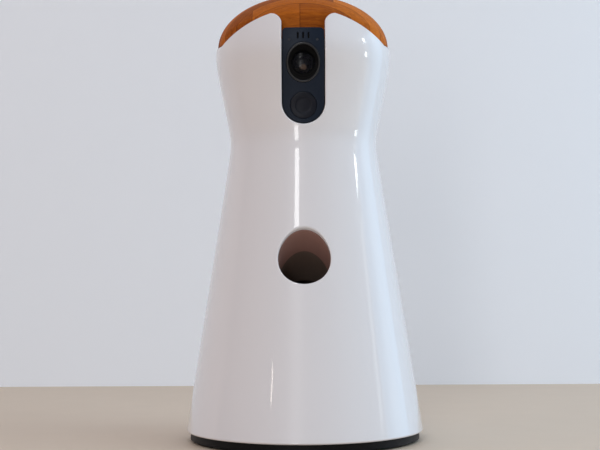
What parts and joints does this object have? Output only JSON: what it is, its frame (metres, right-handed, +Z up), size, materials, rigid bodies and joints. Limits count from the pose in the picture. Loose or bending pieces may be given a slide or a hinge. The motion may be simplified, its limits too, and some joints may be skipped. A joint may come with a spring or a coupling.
{
  "type": "treat tossing pet camera",
  "caption": "Hourglass pet camera: glossy shell, twist-off domed wooden lid over a treat bin, camera strip in the brow, and a sprung catapult behind a round treat exit.",
  "frame": {"origin": "centre of the base on the table", "axes": "+Z up, -Y the front with the camera and the treat exit, +X the object's left side as it faces forward"},
  "size_m": [0.1202, 0.1492, 0.2265],
  "materials": {
    "shell_white": "gloss",
    "base_dark": "satin",
    "foot_rubber": "matte",
    "screw_steel": "satin",
    "lid_wood": "satin",
    "lid_inner": "satin",
    "seal_rubber": "matte",
    "bin_plastic": "satin",
    "rotor_plastic": "satin",
    "shaft_steel": "polished",
    "deck_plastic": "satin",
    "motor_steel": "satin",
    "chute_plastic": "satin",
    "frame_plastic": "satin",
    "spacer_alloy": "satin",
    "standoff_brass": "satin",
    "arm_plastic": "satin",
    "spring_steel": "polished",
    "pinion_brass": "polished",
    "gear_plastic": "satin",
    "panel_black": "gloss",
    "bezel_black": "gloss",
    "lens_cover": "polished",
    "lens_element": "polished",
    "optics_black": "matte",
    "sensor_dark": "gloss",
    "board_green": "satin",
    "bracket_plastic": "satin",
    "window_dark": "gloss",
    "led_clear": "gloss",
    "microphone_case": "satin",
    "pipe_clear": "gloss",
    "module_can": "satin",
    "chip_black": "satin",
    "speaker_black": "satin",
    "cone_paper": "matte",
    "socket_steel": "satin",
    "button_grey": "satin"
  },
  "bodies": {
    "housing": {"base_plate": "base_dark", "base_screws": "screw_steel", "board_chips": "chip_black", "board_standoffs": "standoff_brass", "button_board": "board_green", "button_spring": "spring_steel", "cam_axle": "shaft_steel", "camera_bracket": "bracket_plastic", "camera_panel": "panel_black", "drop_tube": "chute_plastic", "exit_chute": "chute_plastic", "foot_ring": "foot_rubber", "frame_screws": "screw_steel", "frame_spacers": "spacer_alloy", "gear_plate": "frame_plastic", "gear_plate_pillars": "spacer_alloy", "gear_plate_screws": "screw_steel", "hopper_bin": "bin_plastic", "hopper_funnel": "bin_plastic", "idler_axle": "shaft_steel", "image_sensor": "sensor_dark", "ir_board": "board_green", "ir_leds": "led_clear", "ir_window": "window_dark", "launch_motor": "motor_steel", "left_frame": "frame_plastic", "lens_barrel": "optics_black", "lens_bezel": "bezel_black", "lens_glass": "lens_cover", "lens_holder": "optics_black", "light_pipes": "pipe_clear", "main_board": "board_green", "microphone": "microphone_case", "objective_lens": "lens_element", "outer_shell": "shell_white", "power_board": "board_green", "power_socket": "socket_steel", "right_frame": "frame_plastic", "rotor_housing": "deck_plastic", "rotor_motor": "motor_steel", "sensor_board": "board_green", "speaker": "speaker_black", "speaker_cone": "cone_paper", "torsion_spring": "spring_steel", "wifi_module": "module_can"},
    "lid_seal": {"lid_gasket": "seal_rubber"},
    "lid": {"wood_dome": "lid_wood", "lid_plate": "lid_inner", "lid_screws": "screw_steel"},
    "dosing_rotor": {"rotor": "rotor_plastic", "rotor_shaft": "shaft_steel"},
    "catapult": {"launch_arm": "arm_plastic", "arm_shaft": "shaft_steel", "cocking_lever": "arm_plastic"},
    "pinion": {"motor_pinion": "pinion_brass", "motor_shaft": "shaft_steel"},
    "idler": {"idler_gear": "gear_plastic"},
    "cam": {"cam_gear": "gear_plastic"},
    "button": {"setup_button": "button_grey"}
  },
  "joints": [
    {"name": "lid_lift", "type": "slide", "parent": "housing", "child": "lid_seal", "axis": [0, 0, 1], "range_m": [0, 0.06]},
    {"name": "lid_turn", "type": "hinge", "parent": "lid_seal", "child": "lid", "pos_m": [0, 0, 0.2], "axis": [0, 0, 1], "range_deg": [0, 25]},
    {"name": "rotor_spin", "type": "hinge", "parent": "housing", "child": "dosing_rotor", "pos_m": [0, 0.006, 0.15], "axis": [0, 0, 1], "continuous": true},
    {"name": "arm_cock", "type": "hinge", "parent": "housing", "child": "catapult", "pos_m": [0, -0.03959, 0.05035], "axis": [-1, 0, 0], "range_deg": [0, 45], "stiffness_Nm_per_rad": 0.04, "springref_deg": -34.38},
    {"name": "cam_spin", "type": "hinge", "parent": "housing", "child": "cam", "pos_m": [0.0235, -0.01981, 0.03344], "axis": [1, 0, 0], "continuous": true},
    {"name": "idler_spin", "type": "hinge", "parent": "housing", "child": "idler", "pos_m": [0.0215, 0.00356, 0.04483], "axis": [1, 0, 0], "continuous": true},
    {"name": "pinion_spin", "type": "hinge", "parent": "housing", "child": "pinion", "pos_m": [0.0195, 0.018, 0.064], "axis": [1, 0, 0], "continuous": true},
    {"name": "button_press", "type": "slide", "parent": "housing", "child": "button", "axis": [0, 0, 1], "range_m": [0, 0.0012], "stiffness_N_per_m": 500, "springref_m": -0.001, "deforming": ["button_spring"]}
  ],
  "couplings": [
    {"joint": "idler_spin", "follows": "cam_spin", "ratio": -3.3333},
    {"joint": "pinion_spin", "follows": "cam_spin", "ratio": 10}
  ]
}
